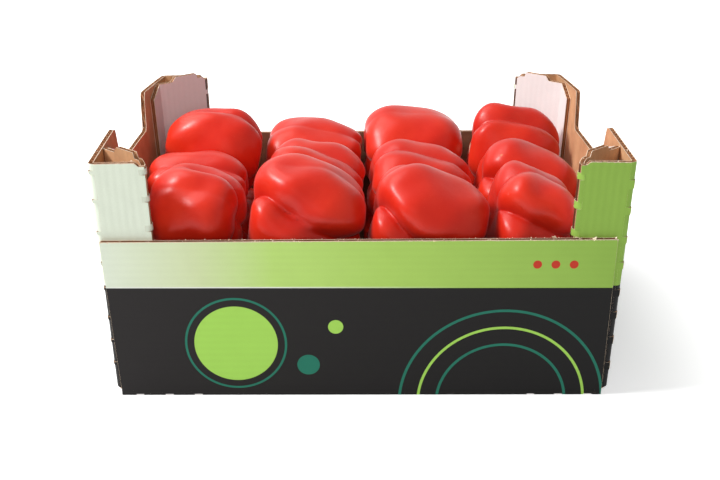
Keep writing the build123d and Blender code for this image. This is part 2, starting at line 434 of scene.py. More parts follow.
def with_motifs(tree, colour, motifs):
    for centre_x, centre_z, radius, width, ink in motifs:
        ring = tree.group(printed_ring, centre_x=centre_x, centre_z=centre_z, radius=radius, width=width)
        colour = tree.mix(ring["Mask"], colour, ink)
    return colour


def printed_liner():
    material, tree = new_material("printed_liner")
    place = tree.add("ShaderNodeSeparateXYZ", {0: tree.object_place()}).outputs
    along_wall = tree.times_plus(place["X"], 1 / (2 * half_width), 0.5)
    on_wall = tree.math("GREATER_THAN", tree.math("ABSOLUTE", place["Y"]), half_depth - board / 2)
    on_right_end = tree.math("GREATER_THAN", place["X"], 0)
    to_right = tree.plus(tree.times(on_wall, along_wall),
                         tree.times(tree.minus(1, on_wall), on_right_end))
    band = tree.ramp(to_right, band_stops)
    # Painted shade: the dark field grows darker from left to right, and is darkest on the right end
    dark = tree.mix(to_right, dark_ink_lit_left, dark_ink_shaded_right)
    dark = with_motifs(tree, dark, dark_field_motifs)
    over_line = tree.step(place["Z"], print_line - 0.0001, print_line + 0.0001)
    near_line = tree.step(place["Z"], print_line + pale_line, print_line + pale_line / 2)
    near_line = tree.times(near_line, tree.step(to_right, 0.75, 0.25))
    band = with_motifs(tree, tree.mix(near_line, band, pale_ink), band_motifs)
    field = tree.mix(over_line, dark, band)
    ink = tree.attribute("ink")
    colour = tree.mix(ink, bare_liner, field)
    # Where ink is -1, in the recessed cuts of the inner folds, the colour is dark brown: painted shade on
    # the brown board
    colour = tree.mix(tree.step(ink, -0.3, -0.7), colour, cut_fold_shade)
    worn = tree.group(worn_edge, width=0.0004)["Mask"]
    colour = tree.mix(worn, colour, torn_paper)
    fibre = tree.group(paper_fibre, strength=0.5)
    tone = tree.times(fibre["Tone"], tree.group(flute_show, strength=0.02)["Tone"])
    colour = tree.mix(1, colour, tree.grey(tone), "MULTIPLY")
    gloss = tree.times_plus(worn, 0.3, tree.times_plus(fibre["Height"], 0.16, 0.4))
    finish_material(tree, fibre["Height"], 0.00004, 0.5, base_color=colour, roughness=gloss,
                    specular_ior_level=0.15)
    return material


def plain_paper(name, dark, light, roughness, fibre_strength=1.0, show=0.04):
    """Unprinted paper: kraft liner, fluting or a torn edge."""
    material, tree = new_material(name)
    place = tree.object_place()
    blotch = tree.step(tree.noise(place, 38, 4, 0.6), 0.3, 0.7)
    fibre = tree.group(paper_fibre, strength=fibre_strength)
    tone = tree.times(fibre["Tone"], tree.group(flute_show, strength=show)["Tone"])
    colour = tree.mix(1, tree.mix(blotch, dark, light), tree.grey(tone), "MULTIPLY")
    rough = tree.times_plus(fibre["Height"], 0.2, roughness - 0.1)
    finish_material(tree, fibre["Height"], 0.00008, 0.6, base_color=colour, roughness=rough)
    return material


def pepper_skin():
    material, tree = new_material("pepper_skin")
    place = tree.object_place()
    mottle = tree.step(tree.noise(place, 26, 3, 0.55), 0.3, 0.72)
    colour = tree.mix(mottle, srgb(204, 34, 16), srgb(216, 48, 25))
    groove = tree.attribute("groove")
    # Painted shade: the skin is darker deep in the grooves
    colour = tree.mix(tree.times(groove, 0.3), colour, srgb(178, 22, 14))
    speck = tree.step(tree.noise(place, 700, 2, 0.6), 0.66, 0.74)
    colour = tree.mix(tree.times(speck, 0.12), colour, srgb(238, 110, 80))
    scar = tree.step(tree.noise(place, 95, 1), 0.80, 0.83)
    colour = tree.mix(tree.times(scar, 0.5), colour, srgb(226, 150, 110))
    dull = tree.times_plus(tree.noise(place, 60, 3), 0.16, 0.26)
    rough = tree.times_plus(scar, 0.2, dull)
    grain = tree.times(tree.noise(place, 1500, 2), 0.05)
    swell = tree.plus(tree.noise(place, 120, 2), grain)
    finish_material(tree, swell, 0.0006, 0.35, base_color=colour, roughness=rough, specular_ior_level=0.3,
                    subsurface_weight=0.04, subsurface_radius=(0.006, 0.0012, 0.0008), subsurface_scale=1,
                    sheen_weight=0.11, sheen_roughness=0.35)
    return material


def stem_part(name, scale, detail_share, dark, light, bump_strength, roughness):
    """Green skin of stem and calyx, or the pale pith where a stem is cut."""
    material, tree = new_material(name)
    streak = tree.noise(tree.object_place(), scale, 3, detail_share)
    finish_material(tree, streak, 0.0002, bump_strength, base_color=tree.mix(streak, dark, light),
                    roughness=tree.times_plus(streak, 0.2, roughness))
    return material


printed = printed_liner()
kraft = plain_paper("kraft_liner", srgb(190, 138, 98), srgb(212, 164, 120), 0.8)
# Darker copy of the kraft liner for the inner faces of base, front and back: painted shade
shaded_kraft = plain_paper("kraft_liner_painted_shade", srgb(118, 76, 54), srgb(140, 96, 70), 0.85)
fluting = plain_paper("fluting_paper", srgb(150, 100, 66), srgb(178, 126, 88), 0.9)
cut_paper = plain_paper("cut_paper_edge", srgb(224, 194, 164), srgb(248, 232, 212), 0.9, show=0)
skin_material = pepper_skin()
stem_material = stem_part("stem_green", 420, 0.6, srgb(84, 112, 40), srgb(142, 164, 76), 0.5, 0.4)
cut_material = stem_part("stem_cut", 900, 0.7, srgb(196, 192, 148), srgb(236, 230, 206), 0.6, 0.6)


def new_object(name, data, *materials):
    """A new object at the origin, in the scene."""
    piece = bpy.data.objects.new(name, data)
    bpy.context.collection.objects.link(piece)
    for material in materials:
        data.materials.append(material)
    return piece


class FoldedSheet:
    """Middle surface of the folded board: a grid of points for each panel, fold bridge and lip."""

    def __init__(self):
        self.points, self.faces, self.count = [], [], 0
        self.carried = {"outward": [], "across": [], "rim": [], "ink": []}
        self.cut_lines = []

    def add(self, points, outward, across, rim, ink):
        """Adds one grid; points and outward have a row for each place across the flutes."""
        columns, rows = points.shape[:2]
        index = self.count + np.arange(columns * rows).reshape(columns, rows)
        quads = np.stack([index[:-1, :-1], index[1:, :-1], index[1:, 1:], index[:-1, 1:]], axis=-1)
        quads = quads.reshape(-1, 4)
        facing = np.cross(points[1, 0] - points[0, 0], points[0, 1] - points[0, 0]) @ outward[0, 0]
        self.faces.append(quads if facing > 0 else quads[:, ::-1])
        self.points.append(points.reshape(-1, 3))
        self.count += columns * rows
        self.carried["outward"].append(outward.reshape(-1, 3))
        for label, values in (("across", across[:, None]), ("rim", rim), ("ink", ink)):
            self.carried[label].append(np.broadcast_to(values, (columns, rows)).ravel())

    def mesh(self, name):
        mesh = bpy.data.meshes.new(name)
        mesh.from_pydata(np.concatenate(self.points).tolist(), [], np.concatenate(self.faces).tolist())
        for label, values in self.carried.items():
            flat = np.concatenate(values)
            kind, field = ("FLOAT_VECTOR", "vector") if flat.ndim == 2 else ("FLOAT", "value")
            attribute = mesh.attributes.new(label, kind, "POINT")
            attribute.data.foreach_set(field, flat.astype(np.float32).ravel())
        return mesh


def lean_out(points):
    """Turns points of an end of the carton outwards about its fold at the base."""
    x = np.abs(points[..., 0]) - fold_x
    z = points[..., 2] - fold_z
    leaned_x = np.sign(points[..., 0]) * (fold_x + x * cos(end_lean) + z * sin(end_lean))
    return np.stack([leaned_x, points[..., 1], fold_z + z * cos(end_lean) - x * sin(end_lean)], axis=-1)


def out_of_true(points):
    """The settled carton: its ends bow out between the posts, and its right end stands a little taller."""
    x, y, z = np.moveaxis(points, -1, 0)
    to_back = np.clip(y / fold_y, -1, 1)
    bow = np.where(x > 0, right_bow, left_bow) * (1 - to_back ** 2) * (1 + bow_skew_share * to_back)
    at_end = np.clip((np.abs(x) - (half_width - front_post_width)) / (front_post_width / 2), 0, 1)
    to_right = (x + half_width) / (2 * half_width)
    on_wall = np.abs(y) > half_depth - board
    rise = np.where(on_wall, wall_rise * z / side_wall_height, post_rise * z / post_height)
    return np.stack([x + np.sign(x) * bow * at_end * z / post_height, y, z + rise * to_right], axis=-1)


def across_flutes(length, breaks=()):
    """Places across the flutes, with the breaks of an outline among them."""
    count = max(int(round(length / flute_pitch * flute_samples)), 2)
    return np.unique(np.round(np.concatenate([np.linspace(0, length, count + 1), breaks]), 5))


def rounded(outline, radius):
    """An open outline with its inner corners rounded, as points along short arcs."""
    outline = [np.array(point, float) for point in outline]
    points = [outline[0]]
    for before, corner, after in zip(outline, outline[1:], outline[2:]):
        to_before = (before - corner) / np.linalg.norm(before - corner)
        to_after = (after - corner) / np.linalg.norm(after - corner)
        reach = radius / tan(acos(float(to_before @ to_after)) / 2)
        for share in np.linspace(0, 1, 6):
            points.append(corner + to_before * reach * (1 - share) ** 2 + to_after * reach * share ** 2)
    return np.array(points + [outline[-1]])


class Corner(NamedTuple):
    """Which corner of the carton: 1 is right or front, -1 left or back."""

    side: int
    end: int

    def place(self, points, outward):
        """Points and outward directions of the front right corner, as they come at this one."""
        mirror = np.array([self.side, self.end, 1])
        return out_of_true(lean_out(points * mirror)), outward * mirror


def outside(heading):
    """The direction that an upright panel faces, where the panel runs along a heading."""
    return np.array([-heading[1], heading[0], 0])


def upright_panel(sheet, corner, start, heading, length, top, start_across, ink, foot=post_foot):
    """An upright panel with vertical flutes; top is a list of (distance along, height)."""
    along, heights = np.array(top).T
    across = across_flutes(length, along)
    high = np.interp(across, along, heights)
    rise = np.linspace(0, 1, panel_rows)
    z = foot + (high[:, None] - foot) * rise[None, :]
    plan = start[None, :] + heading[None, :] * across[:, None]
    points = np.concatenate([np.repeat(plan[:, None, :], panel_rows, axis=1), z[..., None]], axis=-1)
    placed, outward = corner.place(points, np.broadcast_to(outside(heading), points.shape))
    sheet.add(placed, outward, across + start_across, high[:, None] - z, ink)
    sheet.cut_lines.append(placed[:, -1])


def crease_spans(low, high, cut_share):
    """Where a fold is left whole and where it is cut, as (low, high) spans along it."""
    bridges, cuts = [], []
    at = low
    while at < high:
        bridge_end = min(at + crease_period * (1 - cut_share) * random.uniform(*bridge_spread), high)
        cut_end = min(bridge_end + crease_period * cut_share * random.uniform(*cut_spread), high)
        bridges.append((at, bridge_end))
        if cut_end > bridge_end:
            cuts.append((bridge_end, cut_end))
        at = cut_end
    return bridges, cuts


def add_stretch(sheet, place, line, axis, along, outward, across, ink):
    """Adds one stretch of a fold or lip: a line of points, drawn out along an axis."""
    points = line[:, None, :] + axis * along[None, :, None]
    placed, turned = place(points, np.broadcast_to(outward, points.shape))
    sheet.add(placed, turned, across, board, ink)


def bend(sheet, place, centre, first, second, axis, angle, spans, start_across, ink, inside_out=False,
         radius=fold_radius):
    """Rounded stretches of a fold; the arc starts at first and turns towards second, about axis."""
    turns = np.linspace(0, angle, bend_steps)
    radial = np.cos(turns)[:, None] * first + np.sin(turns)[:, None] * second
    outward = (-radial if inside_out else radial)[:, None, :]
    for low, high in spans:
        add_stretch(sheet, place, centre + radial * radius, axis, np.linspace(low, high, 3), outward,
                    start_across + turns * fold_radius, ink)


def lip(sheet, place, edge, heading, axis, outward, reach, spans, start_across, tear=None):
    """Flat stretches of a panel that reach into the fold; tear tells which of them are torn white."""
    shares = lengths = np.array([0, 0.5, 1])
    if tear is not None:
        bare_from, bare_to = torn_lip_from + tear_step, torn_lip_to + tear_step
        shares = np.array([0, torn_lip_from, bare_from, torn_lip_to, bare_to, 1])
        lengths = np.array(torn_lengths)
    middle = (shares > torn_lip_from) & (shares <= torn_lip_to)
    middle = middle[:, None] & (abs(lengths - 0.5) < torn_half_length)
    across = reach * shares
    for low, high in spans:
        torn = tear is not None and tear(low, high)
        along = low + (high - low) * lengths
        add_stretch(sheet, place, edge + heading * across[:, None], axis, along, outward,
                    start_across + across, np.where(middle & torn, 0.0, 1.0))


class Turn:
    """Plan of an upright fold between two headings, with the room it takes from each panel."""

    def __init__(self, corner, before, after):
        self.angle = acos(float(before @ after))
        self.room = fold_radius * tan(self.angle / 2)
        side = 1 if before[0] * after[1] > before[1] * after[0] else -1
        inward = side * np.array([-before[1], before[0]])
        self.start = corner - before * self.room
        self.finish = corner + after * self.room
        self.centre = np.append(self.start + inward * fold_radius, 0)
        self.first = np.append(-inward, 0)
        self.second = np.append(before, 0)


def corner_post(sheet, corner):
    """Post face, diagonal and glue flap of one corner, folded on from the end wall."""
    end_line = half_width - board / 2
    face_width = front_post_width if corner.end > 0 else back_post_width
    face_line = -(half_depth - board - board / 2)
    diagonal_end = -(half_depth - board) + post_side_depth
    path = np.array([
        (end_line, 0),
        (end_line, face_line),
        (half_width - face_width + board / 2, face_line),
        (end_line - board, diagonal_end),
        (end_line - board, diagonal_end + glue_flap_width),
    ])
    runs = np.diff(path, axis=0)
    headings = runs / np.linalg.norm(runs, axis=1)[:, None]
    outer, inner, glued = (Turn(path[n + 1], headings[n], headings[n + 1]) for n in range(3))
    low_top = post_height - post_edge_drop

    def fold(turn, spans, start_across, ink, **kind):
        bend(sheet, corner.place, turn.centre, turn.first, turn.second, upward, turn.angle, spans,
             start_across, ink, **kind)

    def ledge(edge, heading, panel_heading, reach, spans, start_across):
        lip(sheet, corner.place, np.append(edge, 0), np.append(heading, 0), upward, outside(panel_heading),
            reach, spans, start_across)

    face_length = np.linalg.norm(inner.start - outer.finish)
    face_top = [(0, post_height), (face_length - post_edge_drop, post_height), (face_length, low_top)]
    upright_panel(sheet, corner, outer.finish, headings[1], face_length, face_top, 0, 1)
    length = np.linalg.norm(glued.start - inner.finish)
    ramp = tab_ramp_share * length
    tab_start, tab_end = tab_start_share * length, tab_end_share * length
    tab_top = post_height + tab_height
    diagonal_top = [(0, low_top), (post_edge_drop, post_height), (tab_start - ramp / 2, post_height),
                    (tab_start, tab_top), (tab_end - ramp, tab_top), (tab_end, post_height),
                    (length, post_height)]
    upright_panel(sheet, corner, inner.finish, headings[2], length, diagonal_top, face_length, 0)
    flap_length = glue_flap_width - glued.room
    flap_top = [(0, post_height), (flap_length, post_height - glue_flap_slope)]
    upright_panel(sheet, corner, glued.finish, headings[3], flap_length, flap_top, face_length + length, 0)

    corner_cut_share = right_corner_cut_share if corner.side > 0 else left_corner_cut_share
    bridges, cuts = crease_spans(post_foot, post_height, corner_cut_share)
    fold(outer, bridges, 0, 1)
    ledge(outer.finish, -headings[1], headings[1], corner_lip, cuts, 0)
    ledge(outer.start, headings[0], headings[0], corner_lip * 3 / 4, cuts, 0)
    bridges, cuts = crease_spans(post_foot, low_top, inner_cut_share)
    inked = np.where(np.linspace(0, 1, bend_steps) < printed_bend_share, 1.0, 0.0)[:, None]
    fold(inner, bridges, face_length, inked)
    # Its cut stretches get ink -1, the dark brown of painted shade
    fold(inner, cuts, face_length, -1, radius=fold_radius - cut_fold_depth)
    inner_lip = right_inner_lip if corner.side > 0 else left_inner_lip
    ledge(inner.start, headings[1], headings[1], inner_lip, cuts, face_length)
    fold(glued, [(post_foot, post_height)], face_length + length, 0, inside_out=True)


def end_wall(sheet, side):
    """End wall with a tower at each post, and its fold to the base."""
    corner = Corner(side, 1)
    tower_end = half_depth - board - tower_top_length
    tower_foot = half_depth - board - tower_foot_length
    half_top = rounded([(0, notch_floor_height), (tower_foot, notch_floor_height),
                        (tower_end, post_height + tower_tip_rise), (half_depth, post_height)],
                       notch_corner_radius)
    reach = half_depth - board - board / 2 - fold_radius
    half_top = half_top[half_top[:, 0] < reach]
    half_top = np.vstack([half_top, [reach, post_height]])
    whole = np.vstack([half_top[:0:-1] * [-1, 1], half_top])
    top = [(reach + y, z) for y, z in whole]
    upright_panel(sheet, corner, np.array([half_width - board / 2, reach]), np.array([0.0, -1.0]), 2 * reach,
                  top, 0, 1, foot=fold_z)

    def place(points, outward):
        return out_of_true(points * np.array([side, 1, 1])), outward * np.array([side, 1, 1])

    bridges, cuts = crease_spans(-reach, reach, foot_cut_share)
    bend(sheet, place, np.array([fold_x, 0, fold_z]), downward, along_x, along_y, pi / 2 - end_lean, bridges,
         0, 1)
    lip(sheet, place, np.array([half_width - board / 2, 0, fold_z]), downward, along_y, along_x, foot_lip,
        cuts, 0)


def side_wall(sheet, end, left_foot, right_foot, left_top, right_top):
    """Front or back wall, with horizontal flutes, and its fold to the base; end is -1 at the front."""
    line = end * (half_depth - board / 2)
    rise = side_wall_height - fold_z
    across = across_flutes(rise)
    share = across / rise
    left = left_foot + (left_top - left_foot) * share
    right = right_foot + (right_top - right_foot) * share
    along = np.union1d(np.linspace(0, 1, wall_columns), wall_end_columns)
    x = left[:, None] + (right - left)[:, None] * along[None, :]
    z = np.broadcast_to((fold_z + across)[:, None], x.shape)
    points = out_of_true(np.stack([x, np.full_like(x, line), z], axis=-1))
    outward = np.broadcast_to([0, end, 0], points.shape)
    from_ends = np.minimum(x - left[:, None], right[:, None] - x)
    rim = np.minimum((rise - across)[:, None], from_ends * end_wear_share)
    sheet.add(points, outward, across, rim, 1)
    sheet.cut_lines.append(points[-1])

    def place(points, outward):
        return out_of_true(points), outward

    facing = np.array([0, end, 0.0])
    bridges, cuts = crease_spans(left_foot, right_foot, foot_cut_share)
    bend(sheet, place, np.array([0, end * fold_y, fold_z]), downward, facing, along_x, pi / 2, bridges, 0, 1)
    foot = np.array([0, line, fold_z])
    lip(sheet, place, foot, downward, along_x, facing, foot_lip, bridges, 0)
    lip(sheet, place, foot, downward, along_x, facing, foot_lip, cuts, 0,
        tear=lambda low, high: abs(low + high) / 2 > torn_foot_from)


def base_panel(sheet):
    across = across_flutes(2 * fold_y)
    x = np.linspace(-fold_x, fold_x, 5)
    points = np.stack(np.broadcast_arrays(x[None, :], across[:, None] - fold_y, board / 2), axis=-1)
    sheet.add(points, np.broadcast_to(downward, points.shape), across, board, 0)


def geometry_tree(name, values, materials, counts=()):
    """A Geometry Nodes tree that takes a mesh, and values, materials and counts by name."""
    inputs = {"Geometry": ("Geometry",), "Float": values, "Int": counts, "Material": materials}
    return node_group("Geometry", name, inputs, {"Geometry": ("Geometry",)})


def painted(tree, geometry, material, selection=True):
    """The geometry with a material set on it, or on the selected faces."""
    return tree.add("GeometryNodeSetMaterial", {"Geometry": geometry, "Selection": selection,
                                                "Material": material}).outputs[0]


def named_attribute(tree, name, kind="FLOAT"):
    return tree.add("GeometryNodeInputNamedAttribute", {"Name": name}, data_type=kind).outputs[0]


def paper_ply_tree():
    """One sheet of paper with its thickness, set off from a middle surface along its outward vector."""
    group, tree, given = geometry_tree(
        "paper_ply", ("Shift", "Thickness"), ("Outer face", "Inner face", "Rim"))
    outward = named_attribute(tree, "outward", "FLOAT_VECTOR")
    start = tree.times_plus(given["Thickness"], -0.5, given["Shift"])
    under = tree.add("GeometryNodeSetPosition", {"Geometry": given["Geometry"],
                                                 "Offset": tree.scaled(outward, start)}).outputs[0]
    raised = tree.add("GeometryNodeExtrudeMesh", {"Mesh": under, "Offset": outward,
                                                  "Offset Scale": given["Thickness"], "Individual": False})
    body = painted(tree, raised.outputs["Mesh"], given["Outer face"])
    body = painted(tree, body, given["Rim"], raised.outputs["Side"])
    back = tree.add("GeometryNodeFlipFaces", {"Mesh": under}).outputs[0]
    back = painted(tree, back, given["Inner face"])
    joined = tree.add("GeometryNodeJoinGeometry", {0: body})
    tree.tree.links.new(back, joined.inputs[0])
    merged = tree.add("GeometryNodeMergeByDistance", {"Geometry": joined.outputs[0], "Distance": liner / 50})
    smooth = tree.add("GeometryNodeSetShadeSmooth", {0: merged.outputs[0], "Shade Smooth": True})
    turned = tree.add("GeometryNodeInputMeshEdgeAngle").outputs[0]
    corner = tree.add("FunctionNodeCompare", {0: turned, 1: sharp_turn},
                      operation="GREATER_THAN").outputs[0]
    sharp = tree.add("GeometryNodeSetShadeSmooth", {0: smooth.outputs[0], "Selection": corner,
                                                    "Shade Smooth": False}, domain="EDGE")
    tree.add("NodeGroupOutput", {"Geometry": sharp.outputs[0]})
    return group


def corrugated_tree(paper_ply):
    """Turns the middle surface into board: an outer liner, flutes and an inner liner."""
    group, tree, given = geometry_tree(
        "corrugated_board", ("Board", "Liner", "Flute paper", "Flute pitch", "Washboard depth"),
        ("Printed", "Kraft", "Fluting", "Cut edge"))
    full_turns = tree.times(named_attribute(tree, "across"), 2 * pi)
    turn = tree.math("DIVIDE", full_turns, given["Flute pitch"])
    wave = tree.math("SINE", turn)
    liner_shift = tree.times(tree.minus(given["Board"], given["Liner"]), 0.5)
    ripple = tree.times(wave, given["Washboard depth"])
    room = tree.minus(given["Board"], tree.times(given["Liner"], 2))
    swing = tree.times(tree.minus(room, given["Flute paper"]), 0.5)
    plies = (
        (tree.plus(liner_shift, ripple), "Liner", "Printed", "Kraft", "Cut edge"),
        (tree.times(wave, swing), "Flute paper", "Fluting", "Fluting", "Fluting"),
        (tree.minus(ripple, liner_shift), "Liner", "Kraft", "Kraft", "Cut edge"),
    )
    joined = tree.add("GeometryNodeJoinGeometry")
    for shift, thickness, outer, inner, rim in plies:
        ply = tree.add("GeometryNodeGroup", {
            "Geometry": given["Geometry"], "Shift": shift, "Thickness": given[thickness],
            "Outer face": given[outer], "Inner face": given[inner], "Rim": given[rim]}, node_tree=paper_ply)
        tree.tree.links.new(ply.outputs[0], joined.inputs[0])
    whole = tree.add("GeometryNodeRealizeInstances", {0: joined.outputs[0]})
    tree.add("NodeGroupOutput", {"Geometry": whole.outputs[0]})
    return group


def grown(name, mesh, group, **inputs):
    """The plain mesh that a Geometry Nodes tree makes from a mesh, as a new object."""
    piece = new_object(name, mesh)
    modifier = piece.modifiers.new(name, "NODES")
    modifier.node_group = group
    sockets = group.interface.items_tree
    identifiers = {item.name: item.identifier for item in sockets if item.in_out == "INPUT"}
    for label, value in inputs.items():
        modifier[identifiers[label.replace("_", " ").capitalize()]] = value
    depsgraph = bpy.context.evaluated_depsgraph_get()
    made = bpy.data.meshes.new_from_object(piece.evaluated_get(depsgraph), preserve_all_data_layers=True,
                                           depsgraph=depsgraph)
    piece.modifiers.remove(modifier)
    piece.data = made
    bpy.data.meshes.remove(mesh)
    return piece


def frayed_tree():
    """Torn flakes of paper scattered along cut edges, many small and few large."""
    group, tree, given = geometry_tree(
        "frayed_edge", ("Spacing", "Largest", "Spread", "Rarity"), ("Paper",), ("Seed",))
    lines = tree.add("GeometryNodeMeshToCurve", {0: given["Geometry"]}).outputs[0]
    points = tree.add("GeometryNodeCurveToPoints", {"Curve": lines, "Length": given["Spacing"]},
                      mode="LENGTH").outputs["Points"]

    def chance(low, high, offset, kind="FLOAT"):
        at, out = (2, 1) if kind == "FLOAT" else (0, 0)
        limits = {at: low, at + 1: high, "Seed": tree.plus(given["Seed"], offset)}
        return tree.add("FunctionNodeRandomValue", limits, data_type=kind).outputs[out]

    scatter = tree.scaled(chance((-1, -1, -1), (1, 1, 1), 1, "FLOAT_VECTOR"), given["Spread"])
    points = tree.add("GeometryNodeSetPosition", {"Geometry": points, "Offset": scatter}).outputs[0]
    scrap = tree.add("GeometryNodeMeshGrid", {"Size X": 1, "Size Y": 0.55, "Vertices X": 4, "Vertices Y": 3})
    crumple = tree.add("ShaderNodeTexNoise", {"Scale": 2.3, "Detail": 1}).outputs["Color"]
    crumple = tree.scaled(tree.vector("SUBTRACT", crumple, (0.5, 0.5, 0.5)), 1.1)
    scrap = tree.add("GeometryNodeSetPosition", {"Geometry": scrap.outputs[0], "Offset": crumple}).outputs[0]
    size = tree.times(tree.math("POWER", chance(0, 1, 2), given["Rarity"]), given["Largest"])
    size = tree.plus(size, tree.times(given["Largest"], smallest_flake_share))
    turn = chance((-pi, -pi, -pi), (pi, pi, pi), 3, "FLOAT_VECTOR")
    spread = tree.add("GeometryNodeInstanceOnPoints", {"Points": points, "Instance": scrap, "Rotation": turn,
                                                       "Scale": size})
    whole = tree.add("GeometryNodeRealizeInstances", {0: spread.outputs[0]}).outputs[0]
    tree.add("NodeGroupOutput", {"Geometry": painted(tree, whole, given["Paper"])})
    return group


def line_mesh(name, lines):
    """Polylines as a mesh of edges."""
    points, edges = [], []
    for line in lines:
        edges += [(len(points) + n, len(points) + n + 1) for n in range(len(line) - 1)]
        points += [tuple(point) for point in line]
    mesh = bpy.data.meshes.new(name)
    mesh.from_pydata(points, edges, [])
    return mesh


def both_liners(lines):
    """The cut edges of the two liners of the front and back walls, from the middle of the board."""
    shift = np.array([0, (board - liner) / 2, 0])
    return [line + shift * side for line in lines for side in (1, -1)]


def carton_pieces():
    """The carton in two pieces: its ends with their posts, and the tray of base, front and back."""
    corrugated = corrugated_tree(paper_ply_tree())
    ends, tray = FoldedSheet(), FoldedSheet()
    for side in (1, -1):
        end_wall(ends, side)
        for end in (1, -1):
            corner_post(ends, Corner(side, end))
    front_left_foot = -half_width + front_left_foot_inset
    front_left_top = -half_width + front_left_top_inset
    front_right = half_width - front_right_inset
    back_right = half_width - back_wall_inset
    side_wall(tray, -1, front_left_foot, front_right, front_left_top, front_right)
    side_wall(tray, 1, -back_right, back_right, -back_right, back_right)
    base_panel(tray)
    made = []
    # The tray's inner faces take the darker copy of the kraft liner, which is painted shade
    for name, sheet, washboard, inner in (("carton_ends_and_posts", ends, end_washboard, kraft),
                                          ("carton_base_and_sides", tray, side_washboard, shaded_kraft)):
        made.append(grown(name, sheet.mesh(name), corrugated, board=board, liner=liner,
                          flute_paper=flute_paper, flute_pitch=flute_pitch, washboard_depth=washboard,
                          printed=printed, kraft=inner, fluting=fluting, cut_edge=cut_paper))
    frayed = frayed_tree()
    torn = [line[line[:, 0] > torn_foot_from] for line in tray.cut_lines[:1]]
    for name, lines, fray in (("carton_frayed_walls", both_liners(tray.cut_lines), wall_fray),
                              ("carton_torn_corner", torn, torn_corner_fray),
                              ("carton_frayed_towers", ends.cut_lines, tower_fray)):
        made.append(grown(name, line_mesh(name, lines), frayed, paper=cut_paper, **fray))
    return made


def groove_pattern(pepper, along, angle):
    """How deep in a groove each point of the skin lies, 0 on the lobes and about 1 in the grooves."""
    to_right = (along + 1) / 2
    total = np.zeros(np.broadcast(along, angle).shape)
    for left, right, left_depth, right_depth, bow in (Groove(*numbers) for numbers in pepper.grooves):
        centre = np.radians(left + (right - left) * to_right + 4 * bow * to_right * (1 - to_right))
        away = (angle - centre + pi) % (2 * pi) - pi
        across = np.exp(-(away / groove_width) ** 2) + crease_share * np.exp(-np.abs(away) / crease_width)
        total = total + (left_depth + (right_depth - left_depth) * to_right) * across
    return total


def lumps(pepper, along, angle):
    """Slow swelling of the skin, of its own for each pepper, about 0."""
    phase = sum(groove[0] for groove in pepper.grooves)
    swell = sum(np.sin(around * angle + lengthwise * along + number * phase) / (1 + 0.2 * number)
                for number, (around, lengthwise) in enumerate(lump_waves))
    return lump_share * swell


def skin(pepper, station, angle):
    """Points of the fruit's skin and how deep in a groove they lie; stations run from 0 at left to 1."""
    radial = np.sin(pi * station) ** (2 / pepper.blunt)
    along = -np.sign(np.cos(pi * station)) * np.abs(np.cos(pi * station)) ** (2 / pepper.blunt)
    groove = groove_pattern(pepper, along, angle)
    depth = groove_depth_share + (end_groove_depth_share - groove_depth_share) * along ** 4
    reach = radial * (1 - pepper.narrow_share * along) * (1 - depth * groove + lumps(pepper, along, angle))
    right_hollow, left_hollow = (stem_hollow_share, tip_hollow_share)[::pepper.stem_end]
    hollow = np.where(along > 0, right_hollow, left_hollow) * np.exp(-(radial / hollow_width_share) ** 2)
    x = along - np.sign(along) * (hollow + cleft_share * groove * radial) * np.abs(along) ** 3
    y = reach * np.cos(angle)
    z = reach * np.sin(angle)
    tilt, yaw = radians(pepper.tilt), radians(pepper.yaw)
    x, z = x * cos(tilt) + z * sin(tilt), z * cos(tilt) - x * sin(tilt)
    x, y = x * cos(yaw) - y * sin(yaw), y * cos(yaw) + x * sin(yaw)
    return np.stack(np.broadcast_arrays(x, y, z), axis=-1), groove


def tube_faces(loops, around, first):
    """Quads between closed loops of points, and the index of each loop."""
    index = first + np.arange(loops * around).reshape(loops, around)
    following = np.roll(index, -1, axis=1)
    quads = np.stack([index[:-1], following[:-1], following[1:], index[1:]], axis=-1).reshape(-1, 4)
    return quads.tolist(), index


